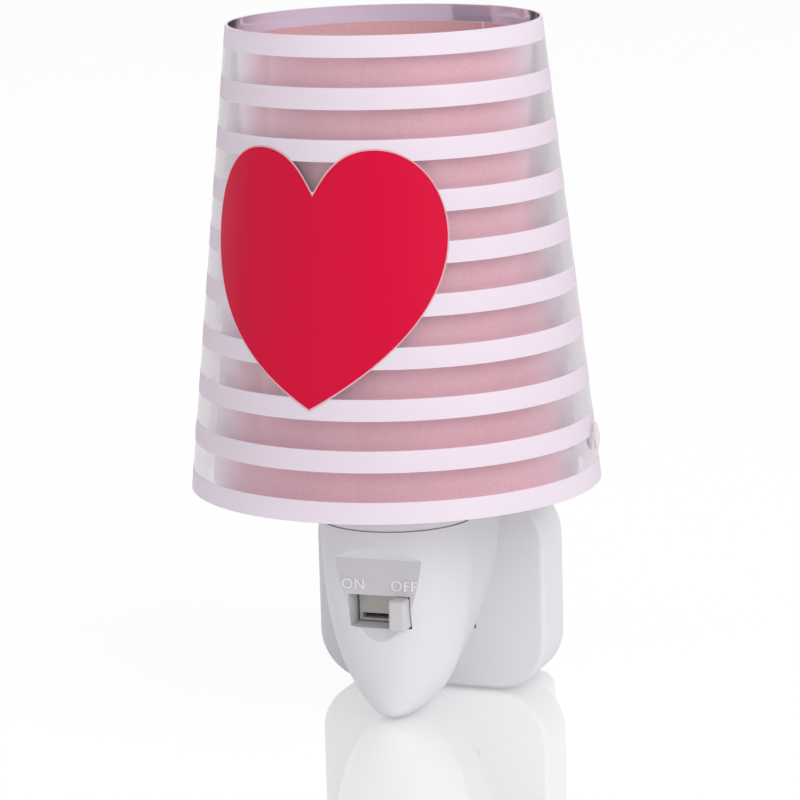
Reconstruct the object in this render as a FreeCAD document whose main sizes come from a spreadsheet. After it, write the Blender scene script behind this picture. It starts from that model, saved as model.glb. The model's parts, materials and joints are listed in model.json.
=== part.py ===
"""Plug-in night light: a conical two-sheet shade on a small plug-in housing.

Millimetres. +Z is up, the front of the lamp faces -Y and the wall is at +Y.
The origin lies midway between the two plug pins, on the end face of the plug.
"""
import FreeCAD, Part
import math
import os
import re
import Sketcher

Vector = FreeCAD.Vector
Rotation = FreeCAD.Rotation
Placement = FreeCAD.Placement

# Driving dimensions: name, value, meaning
DRIVING = [
    ("AxisToPlugEnd", 63.6, "shade axis to the plug's end face"),
    ("ShadeAbovePins", 30.7, "bottom rim of the shade above the pins"),
    ("RunningGap", 0.06, "radial clearance of what turns or slides"),
    ("FitGap", 0.1, "clearance of what is fixed in place"),
    ("ShadeBottomRadius", 46.0, "outer sheet, bottom"),
    ("ShadeTopRadius", 34.9, "outer sheet, top"),
    ("ShadeHeight", 103.4, "outer sheet, vertical"),
    ("SheetWall", 0.6, "thickness of both sheets"),
    ("SeamWidth", 11.0, "lap of the sheets' seam"),
    ("SeamTurn", 74.5, "seam direction, degrees from +X"),
    ("SheetsApartLow", 4.8, "inner sheet inside the outer one, bottom"),
    ("SheetsApartHigh", 2.9, "inner sheet inside the outer one, top"),
    ("InnerRise", 1.5, "inner sheet above the shade's bottom rim"),
    ("InnerHeight", 98.3, "inner sheet, vertical"),
    ("RivetHeight", 10.5, "shade rivets above the bottom rim"),
    ("RivetTurn", 6.4, "rivet line, degrees from X"),
    ("RivetRadius", 1.5, "shank of a shade rivet"),
    ("RivetHeadRadius", 3.0, "disc head of a shade rivet"),
    ("RivetHeadThick", 0.6, "thickness of a rivet head"),
    ("CarrierRise", 1.5, "carrier above the shade's bottom rim"),
    ("CarrierThick", 1.6, "thickness of the carrier bar"),
    ("CarrierWidth", 13.0, "width of the carrier bar"),
    ("CarrierHubRadius", 21.0, "outer radius of the carrier hub"),
    ("CarrierTabRise", 16.0, "top of the tabs above the bottom rim"),
    ("CollarRadius", 17.6, "collar ring, outside"),
    ("CollarDrop", 8.58, "collar's lower edge below the shade's rim"),
    ("CollarEdge", 0.4, "bevel on the collar's lower edge"),
    ("SpigotRadius", 15.6, "collar spigot that carries the shade"),
    ("SpigotTop", 6.0, "top of the spigot above the shade's rim"),
    ("NeckRadius", 14.0, "lampholder neck, outside"),
    ("NeckWall", 1.8, "wall of the lampholder neck"),
    ("NeckTop", 22.0, "top of the neck above the shade's rim"),
    ("NeckFlangeRadius", 15.0, "flange of the neck on the deck"),
    ("NeckFlangeThick", 1.2, "flange of the neck on the deck"),
    ("BeadHeight", 0.6, "snap bead that keeps the collar on"),
    ("InsertTop", 16.0, "top of the holder insert above the rim"),
    ("InsertDrop", 10.0, "foot of the holder insert below the rim"),
    ("InsertFloor", 2.4, "floor of the holder insert"),
    ("ScrewShellRadius", 7.9, "holder screw shell, outside"),
    ("ScrewShellWall", 0.35, "sheet of the holder screw shell"),
    ("ScrewShellFoot", 2.5, "foot of the screw shell below the rim"),
    ("ScrewShellTop", 13.0, "top of the screw shell above the rim"),
    ("ThreadDepth", 0.5, "depth of the rolled thread"),
    ("ThreadPitch", 2.82, "pitch of the rolled thread"),
    ("ContactThick", 0.5, "brass strip of the contacts"),
    ("ContactWidth", 4.0, "width of the contact strips"),
    ("SpringReach", 2.6, "half length of the spring under the bulb"),
    ("CentreTabOut", 5.0, "centre contact's tab right of the axis"),
    ("SideTabOut", 7.6, "side contact's tab left of the axis"),
    ("TabDrop", 15.0, "ends of the holder tabs below the rim"),
    ("ShieldHeight", 46.0, "front shell, from its tip to its deck"),
    ("ShieldDepth", 17.6, "front shell, deck to apex before the axis"),
    ("ShieldSlope", 9.2, "how far the apex falls back at the tip"),
    ("ShellWall", 2.0, "wall of the front shell"),
    ("PanelDepth", 13.93, "flat switch panel before the axis"),
    ("PanelDrop", 15.57, "top edge of the panel below the rim"),
    ("PanelBevelRise", 0.86, "rise of the panel's bevel per length"),
    ("WindowWidth", 14.6, "switch window"),
    ("WindowHeight", 7.6, "switch window"),
    ("WindowDrop", 27.7, "middle of the window below the rim"),
    ("KnobWidth", 4.0, "switch knob along its travel"),
    ("KnobProud", 3.1, "knob before the panel"),
    ("KnobGap", 0.2, "knob to window edge"),
    ("KnobRound", 0.8, "rounding of the knob"),
    ("StemWidth", 1.6, "knob stem along its travel"),
    ("StemHeight", 1.0, "knob stem"),
    ("StemEdge", 0.6, "under the stem's slot in the switch face"),
    ("SwitchFace", 8.4, "switch face before the axis"),
    ("WindowLining", 1.2, "wall round the window behind the panel"),
    ("SwitchFaceGap", 0.6, "switch face to the ends of the window"),
    ("SwitchFaceLip", 0.3, "switch face to the window above and below"),
    ("SwitchShoulder", 6.8, "shoulder of the switch body before the axis"),
    ("SwitchBack", -1.4, "back of the switch body before the axis"),
    ("SwitchWidth", 17.2, "switch body"),
    ("SwitchHeight", 7.2, "switch body"),
    ("SwitchWall", 0.8, "walls of the switch body"),
    ("SwitchBaseThick", 1.2, "insulating base of the switch"),
    ("CarriageWidth", 3.2, "switch carriage along its travel"),
    ("CarriageDepth", 3.8, "switch carriage front to back"),
    ("BridgeLength", 5.2, "moving contact along its travel"),
    ("BridgeThick", 0.4, "moving contact"),
    ("BladeWidth", 1.0, "fixed contacts"),
    ("BladeEnd", 4.0, "fixed contacts behind the axis"),
    ("BlockFront", 20.8, "block's front face behind the shade axis"),
    ("BlockDepth", 14.5, "block, front to back"),
    ("BlockHalfWidth", 27.7, "block, half its width"),
    ("BlockTop", 23.3, "top of the block above the pins"),
    ("BlockFoot", 23.4, "foot of the block below the pins"),
    ("BlockCorner", 12.0, "rounded corners of the block"),
    ("BlockEdge", 1.2, "rounding of the block's front edge"),
    ("BlockWall", 2.0, "walls of the block"),
    ("WireHoleWidth", 22.0, "opening between block and front shell"),
    ("WireHoleHeight", 18.0, "opening between block and front shell"),
    ("CoverThick", 2.0, "plate of the back cover"),
    ("StepHalf", 22.0, "raised step of the back cover, half width"),
    ("StepDepth", 11.3, "step behind the block"),
    ("StepRound", 4.0, "corners of the step"),
    ("PlugRadius", 18.0, "round plug that enters the socket"),
    ("PlugDepth", 17.0, "length of the round plug"),
    ("PlugFloor", 3.0, "end wall of the plug"),
    ("PlugWall", 2.5, "side wall of the plug"),
    ("PinSpacing", 18.6, "between the plug pins"),
    ("PinRadius", 2.0, "plug pins"),
    ("PinLength", 19.0, "pins before the plug's end face"),
    ("PinInside", 16.0, "pins inside the plug"),
    ("PinNose", 1.0, "bevel of a pin's tip"),
    ("PinPostRadius", 4.2, "posts that hold the pins"),
    ("PinPostDepth", 10.4, "length of the posts behind the end wall"),
    ("SleeveLength", 10.0, "insulating sleeve on a pin"),
    ("SleeveRadius", 1.7, "insulating sleeve on a pin"),
    ("SleeveWall", 0.4, "insulating sleeve on a pin"),
    ("CrimpRadius", 2.9, "crimp terminal on a pin"),
    ("CrimpLength", 5.0, "crimp terminal on a pin"),
    ("ScrewOut", 17.2, "cover screws from the middle, both ways"),
    ("ScrewRadius", 1.5, "shank of the screws"),
    ("ScrewHeadRadius", 2.8, "head of the screws"),
    ("ScrewHeadThick", 2.0, "head of the screws"),
    ("ScrewLength", 15.5, "cover screw under its head"),
    ("ShellScrewLength", 10.0, "front shell screw under its head"),
    ("CounterboreDepth", 5.0, "cover screw heads below the step's face"),
    ("PostRadius", 3.4, "screw posts"),
    ("ShellPostOut", 10.8, "upper front shell posts beside the axis"),
    ("ShellPostHigh", 11.0, "upper front shell posts above the pins"),
    ("ShellPostLow", 12.0, "lower front shell post below the pins"),
    ("WireRadius", 1.0, "insulated wire"),
    ("BulbRadius", 12.6, "bulb envelope"),
    ("BulbWall", 0.9, "bulb envelope"),
    ("BulbTop", 58.0, "top of the bulb above the rim"),
    ("BulbJoin", 27.0, "foot of the envelope above the rim"),
    ("BulbTip", 6.0, "bulb's tip contact below the rim"),
    ("CapRadius", 6.9, "bulb screw cap"),
    ("CapTop", 17.5, "top of the bulb screw cap above the rim"),
    ("CapFoot", 2.2, "foot of the bulb screw cap below the rim"),
    ("HousingWall", 1.2, "plastic housing of the bulb"),
    ("BoardRadius", 10.4, "round board with the light chips"),
    ("BoardThick", 1.2, "round board with the light chips"),
    ("ChipCount", 6, "light chips on the board"),
    ("ChipRing", 6.6, "radius of the ring of chips"),
    ("ChipSize", 2.8, "side of a chip"),
    ("ChipThick", 0.7, "thickness of a chip"),
]

doc = FreeCAD.newDocument("NightLight")
sheet = doc.addObject("Spreadsheet::Sheet", "Sizes")
for line, (alias, size, meaning) in enumerate(DRIVING, start=1):
    sheet.set("A%d" % line, alias)
    sheet.set("B%d" % line, str(size))
    sheet.set("C%d" % line, meaning)
    sheet.setAlias("B%d" % line, alias)
doc.recompute()

nodes = []


def terms(text):
    """Point each size named in an expression at the sheet."""
    return re.sub(r"\b[A-Z]\w+", lambda word: "Sizes." + word.group(0), str(text))


def number(text):
    """Work out an expression of sizes as a plain number."""
    result = sheet.evalExpression(terms(text))
    return float(getattr(result, "Value", result))


def bind(thing, name, text):
    thing.setExpression(name, terms(text))


def place(thing, spot, turn=None):
    """Bind a thing's place to expressions; turn is a fixed Rotation."""
    if turn is not None:
        thing.Placement = Placement(Vector(), turn)
    for letter, text in zip("xyz", spot):
        bind(thing, "Placement.Base." + letter, text)
    return thing


def node(label, thing):
    """Name a finished sub-part; its label names its file."""
    thing.Label = label
    nodes.append(thing)
    return thing


# Solid helpers
UP = Rotation()
BACK = Rotation(Vector(1, 0, 0), -90)
FRONT = Rotation(Vector(1, 0, 0), 90)


def box(low, high):
    solid = doc.addObject("Part::Box", "Box")
    for name, start, end in zip(("Length", "Width", "Height"), low, high):
        bind(solid, name, "(%s) - (%s)" % (end, start))
    return place(solid, low)


def rod(radius, length, spot, turn=UP):
    solid = doc.addObject("Part::Cylinder", "Rod")
    bind(solid, "Radius", radius)
    bind(solid, "Height", length)
    return place(solid, spot, turn)


def cone(low_radius, high_radius, length, spot):
    solid = doc.addObject("Part::Cone", "Cone")
    bind(solid, "Radius1", low_radius)
    bind(solid, "Radius2", high_radius)
    bind(solid, "Height", length)
    return place(solid, spot)


def joined(*things):
    solid = doc.addObject("Part::MultiFuse", "Joined")
    solid.Shapes = list(things)
    return solid


def shared(*things):
    solid = doc.addObject("Part::MultiCommon", "Shared")
    solid.Shapes = list(things)
    return solid


def cut(base, *tools):
    solid = doc.addObject("Part::Cut", "CutOut")
    solid.Base = base
    solid.Tool = tools[0] if len(tools) == 1 else joined(*tools)
    return solid


def group(*things):
    """Identical loose pieces that share one node."""
    bundle = doc.addObject("Part::Compound", "Group")
    bundle.Links = list(things)
    return bundle


def rounded(base, radius, chosen):
    """Round the edges of base that chosen accepts."""
    doc.recompute()
    solid = doc.addObject("Part::Fillet", "Rounded")
    solid.Base = base
    size = number(radius)
    solid.Edges = [(index, size, size) for index, edge in enumerate(base.Shape.Edges, start=1)
                   if chosen(edge)]
    return solid


def runs_along(edge, letter):
    """True for a straight edge parallel to one axis."""
    ends = [edge.valueAt(edge.FirstParameter), edge.valueAt(edge.LastParameter)]
    step = ends[1] - ends[0]
    return abs(abs(getattr(step, letter)) - edge.Length) < 1e-6 and edge.Length > 1e-3


def lies_at(edge, letter, text):
    """True for an edge in the plane where one coordinate has this value."""
    level = number(text)
    spots = [edge.valueAt(edge.FirstParameter), edge.valueAt(edge.LastParameter), edge.CenterOfMass]
    return all(abs(getattr(spot, letter) - level) < 1e-4 for spot in spots)


def draw(sketch, outline):
    """Closed outline; every corner is held by two bound distances."""
    corners = [(number(across), number(along)) for across, along in outline]
    count = len(corners)
    for index, corner in enumerate(corners):
        following = corners[(index + 1) % count]
        sketch.addGeometry(Part.LineSegment(Vector(*corner, 0), Vector(*following, 0)))
    for index in range(count):
        sketch.addConstraint(Sketcher.Constraint("Coincident", index, 2, (index + 1) % count, 1))
    for index, (across, along) in enumerate(outline):
        for kind, text in (("DistanceX", across), ("DistanceY", along)):
            made = sketch.addConstraint(
                Sketcher.Constraint(kind, -1, 1, index, 1, number(text)))
            bind(sketch, "Constraints[%d]" % made, text)


def sketched(role, outline):
    """A body with one sketch on the origin plane that has this role."""
    body = doc.addObject("PartDesign::Body", "Body")
    sketch = body.newObject("Sketcher::SketchObject", "Sketch")
    plane = [item for item in body.Origin.OriginFeatures if item.Role == role][0]
    sketch.AttachmentSupport = [(plane, "")]
    sketch.MapMode = "FlatFace"
    draw(sketch, outline)
    return body, sketch


def turned(outline, spot, turn=UP):
    """Turn an outline of (radius, height) pairs about the body's own Z."""
    body, sketch = sketched("XZ_Plane", outline)
    feature = body.newObject("PartDesign::Revolution", "Turned")
    feature.Profile = sketch
    feature.ReferenceAxis = (sketch, ["V_Axis"])
    feature.Angle = 360
    body.Tip = feature
    return place(body, spot, turn)


def raised(role, outline, length, spot, turn=UP):
    """Pad an outline on an origin plane by a length."""
    body, sketch = sketched(role, outline)
    feature = body.newObject("PartDesign::Pad", "Raised")
    feature.Profile = sketch
    bind(feature, "Length", length)
    body.Tip = feature
    return place(body, spot, turn)


def made(name, shape):
    """A solid from Part's own functions, where no feature fits."""
    solid = doc.addObject("Part::Feature", name)
    solid.Shape = shape
    return solid


# Places that several pieces share
axis_x = "0"
axis_y = "-AxisToPlugEnd"
rim_z = "ShadeAbovePins"
deck_z = "(ShadeAbovePins - CollarDrop)"
block_front_y = "(BlockFront - AxisToPlugEnd)"
block_back_y = "(BlockFront + BlockDepth - AxisToPlugEnd)"
step_back_y = "(BlockFront + BlockDepth + StepDepth - AxisToPlugEnd)"
neck_bore = "(NeckRadius - NeckWall)"
inner_bottom = "(ShadeBottomRadius - SheetsApartLow)"
inner_top = "(ShadeTopRadius - SheetsApartHigh)"
carrier_top = "(CarrierRise + CarrierThick)"


def on_axis(height="0"):
    """A spot on the shade axis, at a height above the shade's rim."""
    return axis_x, axis_y, "%s + %s" % (rim_z, height)


def before_axis(text):
    return "-(%s) - AxisToPlugEnd" % text


def under_rim(text):
    return "ShadeAbovePins - (%s)" % text


# The two conical sheets of the shade
def sheet_radius(kind, height):
    """Outer radius of a sheet at a height above the shade's bottom rim."""
    if kind == "outer":
        return "(ShadeBottomRadius - (ShadeBottomRadius - ShadeTopRadius) * (%s) / ShadeHeight)" % height
    fall = "(%s - %s) / InnerHeight" % (inner_bottom, inner_top)
    return "(%s - %s * ((%s) - InnerRise))" % (inner_bottom, fall, height)


def conical_sheet(low_radius, high_radius, length, rise):
    outline = [
        (low_radius + " - SheetWall", "0"),
        (low_radius, "0"),
        (high_radius, length),
        (high_radius + " - SheetWall", length),
    ]
    return turned(outline, on_axis(rise))


def seam_lap(low_radius, high_radius, length, rise):
    """Second layer of the sheet, as wide as the seam."""
    skin = cut(cone(low_radius + " + SheetWall", high_radius + " + SheetWall", length, on_axis(rise)),
               cone(low_radius, high_radius, length, on_axis(rise)))
    strip = doc.addObject("Part::Box", "Strip")
    bind(strip, "Length", "ShadeBottomRadius * 2")
    bind(strip, "Width", "SeamWidth")
    bind(strip, "Height", "ShadeHeight + InnerHeight")
    turn = math.radians(number("SeamTurn"))
    strip.Placement = Placement(Vector(), Rotation(Vector(0, 0, 1), number("SeamTurn")))
    bind(strip, "Placement.Base.x", "SeamWidth / 2 * %.6f" % math.sin(turn))
    bind(strip, "Placement.Base.y", "-AxisToPlugEnd - SeamWidth / 2 * %.6f" % math.cos(turn))
    bind(strip, "Placement.Base.z", "ShadeAbovePins - InnerHeight / 2")
    return shared(skin, strip)


def rivet_turns():
    """The two ends of the rivet line, in degrees about the shade axis."""
    return number("RivetTurn"), number("RivetTurn") + 180


def across_sheets(turn):
    """Rotation that points a body's Z outwards, square to the outer sheet."""
    slope = math.degrees(math.atan2(number("ShadeBottomRadius - ShadeTopRadius"), number("ShadeHeight")))
    return Rotation(Vector(0, 0, 1), turn) * Rotation(Vector(0, 1, 0), 90 - slope)


def rivet_spot(turn, inwards="0"):
    """A spot on the rivet's line, this far inside the outer sheet's outside."""
    slope = math.atan2(number("ShadeBottomRadius - ShadeTopRadius"), number("ShadeHeight"))
    out = "(%s - (%s) * %.6f)" % (sheet_radius("outer", "RivetHeight"), inwards, math.cos(slope))
    angle = math.radians(turn)
    return ("%s * %.6f" % (out, math.cos(angle)),
            "%s * %.6f - AxisToPlugEnd" % (out, math.sin(angle)),
            "ShadeAbovePins + RivetHeight - (%s) * %.6f" % (inwards, math.sin(slope)))


sheet_gap = "(%s - %s - SheetWall)" % (sheet_radius("outer", "RivetHeight"),
                                       sheet_radius("inner", "RivetHeight"))
rivet_grip = "(2 * SheetWall + %s + CarrierThick + 3 * FitGap)" % sheet_gap


def rivet_holes():
    """Drills through both sheets and the carrier tabs."""
    return [rod("RivetRadius + FitGap", "4 * RivetHeadRadius",
                rivet_spot(turn, "3 * RivetHeadRadius"), across_sheets(turn))
            for turn in rivet_turns()]


def shade_sheets():
    outer = ("ShadeBottomRadius", "ShadeTopRadius", "ShadeHeight", "0")
    node("outer_shade", cut(joined(conical_sheet(*outer), seam_lap(*outer)), *rivet_holes()))
    inner = (inner_bottom, inner_top, "InnerHeight", "InnerRise")
    node("inner_shade", cut(joined(conical_sheet(*inner), seam_lap(*inner)), *rivet_holes()))


def shade_carrier():
    """Clear bar with a hub ring, and a tab at each end that follows the inner sheet."""
    low = sheet_radius("inner", "CarrierRise")
    high = sheet_radius("inner", "CarrierTabRise")
    length = "CarrierTabRise - CarrierRise"
    inside = cone(low + " - SheetWall - FitGap", high + " - SheetWall - FitGap", length, on_axis("CarrierRise"))
    core = cone(low + " - SheetWall - FitGap - CarrierThick",
                high + " - SheetWall - FitGap - CarrierThick", length, on_axis("CarrierRise"))
    bar = doc.addObject("Part::Box", "Bar")
    bind(bar, "Length", inner_bottom + " * 2")
    bind(bar, "Width", "CarrierWidth")
    bind(bar, "Height", length)
    turn = number("RivetTurn")
    bar.Placement = Placement(Vector(), Rotation(Vector(0, 0, 1), turn))
    along = (math.cos(math.radians(turn)), math.sin(math.radians(turn)))
    bind(bar, "Placement.Base.x", "-%s * %.6f + CarrierWidth / 2 * %.6f" % (inner_bottom, *along))
    bind(bar, "Placement.Base.y", "-AxisToPlugEnd - %s * %.6f - CarrierWidth / 2 * %.6f"
         % (inner_bottom, along[1], along[0]))
    bind(bar, "Placement.Base.z", "ShadeAbovePins + CarrierRise")
    slab = rod(inner_bottom, "CarrierThick", on_axis("CarrierRise"))
    whole_bar = shared(bar, inside)
    tabs = cut(whole_bar, core)
    floor = shared(whole_bar, slab)
    hub = rod("CarrierHubRadius", "CarrierThick", on_axis("CarrierRise"))
    bore = rod("SpigotRadius + RunningGap", "CarrierThick * 3", on_axis("CarrierRise - CarrierThick"))
    node("shade_carrier", cut(joined(hub, floor, tabs), bore, *rivet_holes()))


def shade_fasteners():
    """Clear rivets, inside washers and the tubes that hold the sheets apart."""
    head = "RivetHeadThick"
    shank = "(%s)" % rivet_grip
    rivets = []
    washers = []
    spacers = []
    for turn in rivet_turns():
        outline = [
            ("0", "0"),
            ("RivetRadius", "0"),
            ("RivetRadius", shank + " + " + head),
            ("RivetHeadRadius", shank + " + " + head),
            ("RivetHeadRadius", shank + " + 1.6 * " + head),
            ("RivetHeadRadius * 0.7", shank + " + 2 * " + head),
            ("0", shank + " + 2 * " + head),
        ]
        rivets.append(turned(outline, rivet_spot(turn, shank + " + " + head + " - FitGap - SheetWall"),
                             across_sheets(turn)))
        ring = [
            ("RivetRadius + FitGap", "0"),
            ("RivetHeadRadius", "0"),
            ("RivetHeadRadius", head),
            ("RivetRadius + FitGap", head),
        ]
        washers.append(turned(ring, rivet_spot(turn, shank + " + " + head + " - FitGap"),
                              across_sheets(turn)))
        tube = [
            ("RivetRadius + FitGap", "0"),
            ("RivetHeadRadius", "0"),
            ("RivetHeadRadius", sheet_gap + " - 3 * FitGap"),
            ("RivetRadius + FitGap", sheet_gap + " - 3 * FitGap"),
        ]
        spacers.append(turned(tube, rivet_spot(turn, "SheetWall + %s - FitGap" % sheet_gap),
                              across_sheets(turn)))
    node("shade_rivets", group(*rivets))
    node("rivet_washers", group(*washers))
    node("sheet_spacers", group(*spacers))


# Collar and lampholder
def collar_ring():
    """Turns on the neck; its spigot carries the shade."""
    outline = [
        ("NeckFlangeRadius + FitGap", "0"),
        ("CollarRadius - CollarEdge", "0"),
        ("CollarRadius", "CollarEdge"),
        ("CollarRadius", "CollarDrop + CarrierRise - FitGap"),
        ("SpigotRadius", "CollarDrop + CarrierRise - FitGap"),
        ("SpigotRadius", "CollarDrop + SpigotTop"),
        ("NeckRadius + RunningGap", "CollarDrop + SpigotTop"),
        ("NeckRadius + RunningGap", "NeckFlangeThick"),
        ("NeckFlangeRadius + FitGap", "NeckFlangeThick"),
    ]
    node("collar_ring", turned(outline, on_axis("FitGap - CollarDrop")))


def lampholder_neck():
    """White tube set in the deck, with a flange on it and a bead that keeps the collar."""
    foot = "(CollarDrop + ShellWall)"
    bead = "(%s + SpigotTop + 2 * FitGap)" % foot
    outline = [
        (neck_bore, "0"),
        ("NeckRadius", "0"),
        ("NeckRadius", "ShellWall"),
        ("NeckFlangeRadius", "ShellWall"),
        ("NeckFlangeRadius", "ShellWall + NeckFlangeThick"),
        ("NeckRadius", "ShellWall + NeckFlangeThick"),
        ("NeckRadius", bead),
        ("NeckRadius + BeadHeight", bead + " + BeadHeight"),
        ("NeckRadius", bead + " + 2 * BeadHeight"),
        ("NeckRadius", foot + " + NeckTop"),
        (neck_bore, foot + " + NeckTop"),
    ]
    node("lampholder_neck", turned(outline, on_axis("- " + foot)))


def lampholder_insert():
    """Insulating insert that holds the screw shell and both contacts."""
    floor = "InsertFloor"
    shell_foot = "(InsertDrop - ScrewShellFoot)"
    outline = [
        ("0", "0"),
        (neck_bore + " - FitGap", "0"),
        (neck_bore + " - FitGap", "InsertDrop + InsertTop"),
        ("ScrewShellRadius + 2 * FitGap", "InsertDrop + InsertTop"),
        ("ScrewShellRadius + 2 * FitGap", shell_foot),
        ("ScrewShellRadius - 1.2", shell_foot),
        ("ScrewShellRadius - 1.2", floor),
        ("0", floor),
    ]
    slot_half = "(ContactWidth / 2 + FitGap)"
    centre_slot = box(("CentreTabOut - FitGap", before_axis(slot_half), under_rim("InsertDrop + 1")),
                      ("CentreTabOut + ContactThick + FitGap", "%s - AxisToPlugEnd" % slot_half,
                       under_rim("InsertDrop - InsertFloor - 1")))
    side_slot = box(("-SideTabOut - ContactThick - FitGap", before_axis(slot_half), under_rim("InsertDrop + 1")),
                    ("-SideTabOut + FitGap", "%s - AxisToPlugEnd" % slot_half,
                     under_rim("ScrewShellFoot - 1")))
    node("lampholder_insert", cut(turned(outline, on_axis("- InsertDrop")), centre_slot, side_slot))


def rolled_thread(radius, start, end, sign):
    """Outline points of rolled thread rings between two heights; sign +1 bulges outwards."""
    rings = max(2, int(number("(%s) - (%s)" % (end, start)) / number("ThreadPitch")))
    points = []
    for ring in range(rings):
        points.append(("%s" % radius, "%s + ThreadPitch * %g" % (start, ring)))
        points.append(("%s + %d * ThreadDepth" % (radius, sign),
                       "%s + ThreadPitch * %g" % (start, ring + 0.5)))
    points.append(("%s" % radius, "%s + ThreadPitch * %g" % (start, rings)))
    return points


def screw_shell():
    length = "ScrewShellFoot + ScrewShellTop"
    outside = rolled_thread("(ScrewShellRadius - ThreadDepth)", "1", length, 1)
    inside = rolled_thread("(ScrewShellRadius - ThreadDepth - ScrewShellWall)", "1", length, 1)
    outline = [("ScrewShellRadius - ThreadDepth - ScrewShellWall", "0"),
               ("ScrewShellRadius - ThreadDepth", "0")]
    outline += outside
    outline += reversed(inside)
    node("screw_shell", turned(outline, on_axis("FitGap - ScrewShellFoot")))


def contact_strips():
    """Centre spring under the bulb and side strip beside the screw shell, each with a tab."""
    drop = "(TabDrop - InsertDrop + InsertFloor)"
    thick = "ContactThick"
    rise = "(InsertDrop - InsertFloor - BulbTip - FitGap)"
    centre = [
        ("CentreTabOut + " + thick, "-" + drop),
        ("CentreTabOut + " + thick, "FitGap + " + thick),
        (thick + " - SpringReach", "FitGap + " + thick),
        (thick + " - SpringReach", rise + " - " + thick),
        ("SpringReach", rise + " - " + thick),
        ("SpringReach", rise),
        ("-SpringReach", rise),
        ("-SpringReach", "FitGap"),
        ("CentreTabOut", "FitGap"),
        ("CentreTabOut", "-" + drop),
    ]
    spot = (axis_x, "ContactWidth / 2 - AxisToPlugEnd", under_rim("InsertDrop - InsertFloor"))
    node("centre_contact", raised("XZ_Plane", centre, "ContactWidth", spot))
    side = box(("-SideTabOut - ContactThick", before_axis("ContactWidth / 2"), under_rim("TabDrop")),
               ("-SideTabOut", "ContactWidth / 2 - AxisToPlugEnd", under_rim("ScrewShellFoot")))
    node("side_contact", side)


# Front shell
def shield_wire(share, inset, overlap):
    """Level section of the shield; share runs from 0 at the deck to 1 at the tip."""
    narrow = 1 - 0.26 * share ** 8
    width = number("CollarRadius") * (1 - share ** 2.3) ** 0.392 * narrow - inset
    tip_round = (1 - share ** 40) ** 0.4
    fall = share ** 1.6 - 0.27 * share ** 8
    depth = number("ShieldDepth - ShieldSlope * %.6f" % fall) * tip_round - inset
    back = (width + inset) * (1 - 0.52 * share ** 1.8) - inset
    level = number(deck_z) - number("ShieldHeight") * share
    axis = number(axis_y)
    rear = number(block_front_y) + overlap
    half = Part.Arc(Vector(-1, 0, 0), Vector(0, -1, 0), Vector(1, 0, 0)).toShape()
    stretch = FreeCAD.Matrix(width, 0, 0, 0, 0, depth, 0, axis, 0, 0, 1, level)
    front = half.transformGeometry(stretch)
    corners = [Vector(width, axis, level), Vector(back, rear, level),
               Vector(-back, rear, level), Vector(-width, axis, level)]
    sides = [Part.LineSegment(corners[i], corners[i + 1]).toShape() for i in range(3)]
    return Part.Wire([front] + sides)


def front_shell():
    stations = [0.0, 0.12, 0.25, 0.4, 0.55, 0.68, 0.79, 0.87, 0.93, 0.965, 0.985, 0.997]
    outside = made("ShieldOutside", Part.makeLoft([shield_wire(s, 0, 0) for s in stations], True, False))
    wall = number("ShellWall")
    first = wall / number("ShieldHeight")
    inner_stations = [first] + [s for s in stations if first < s < 0.9]
    hollow = made("ShieldHollow",
                  Part.makeLoft([shield_wire(s, wall, wall) for s in inner_stations], True, False))
    reach = "2 * CollarRadius"
    inner_front = "PanelDepth - ShellWall"
    room = box(("-" + reach, before_axis(inner_front), "-2 * ShieldHeight"),
               (reach, "0", "2 * ShieldHeight"))
    cavity = shared(hollow, room)
    bevel_out = "2 * ShieldDepth"
    panel = [
        (before_axis("PanelDepth"), "-2 * ShieldHeight"),
        (before_axis("PanelDepth"), under_rim("PanelDrop")),
        (before_axis("PanelDepth + " + bevel_out), under_rim("PanelDrop - PanelBevelRise * " + bevel_out)),
        (before_axis("PanelDepth + " + bevel_out), "-2 * ShieldHeight"),
    ]
    panel_cut = raised("YZ_Plane", panel, "2 * " + reach, ("-" + reach, "0", "0"))
    window = box(("-WindowWidth / 2", before_axis("2 * ShieldDepth"), under_rim("WindowDrop + WindowHeight / 2")),
                 ("WindowWidth / 2", before_axis("SwitchShoulder"),
                  under_rim("WindowDrop - WindowHeight / 2")))
    lining = switch_box("(WindowWidth / 2 + WindowLining)", "(WindowHeight / 2 + WindowLining)",
                        "PanelDepth - ShellWall / 2", "SwitchShoulder + FitGap")
    neck_hole = rod("NeckRadius + FitGap", "4 * ShellWall", (axis_x, axis_y, deck_z + " - 3 * ShellWall"))
    posts = []
    drills = []
    for across, level, start in shell_screw_spots():
        deep = "(BlockFront - (%s))" % start
        posts.append(rod("PostRadius", deep, (across, "%s - AxisToPlugEnd" % start, level), BACK))
        drills.append(rod("ScrewRadius + FitGap / 2", "ShellScrewLength + 1",
                          (across, block_front_y + " - ShellScrewLength", level), BACK))
    inside_posts = [shared(post, outside) for post in posts]
    shell = cut(outside, cavity, panel_cut, neck_hole)
    node("front_shell", cut(joined(shell, lining, *inside_posts), window, *drills))


def shell_screw_spots():
    """Across, level and front end of each front shell post, behind the shade axis."""
    return [("ShellPostOut", "ShellPostHigh", "-9"),
            ("-ShellPostOut", "ShellPostHigh", "-9"),
            ("0", "-ShellPostLow", "-11")]


# Switch
def switch_box(half_width, half_height, front, back):
    middle = "WindowDrop"
    return box(("-(%s)" % half_width, before_axis(front), under_rim("%s + %s" % (middle, half_height))),
               (half_width, before_axis(back), under_rim("%s - %s" % (middle, half_height))))


knob_out = "((WindowWidth - KnobWidth) / 2 - KnobGap)"
slot_low = "(WindowHeight / 2 - SwitchFaceLip - StemEdge)"


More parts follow.
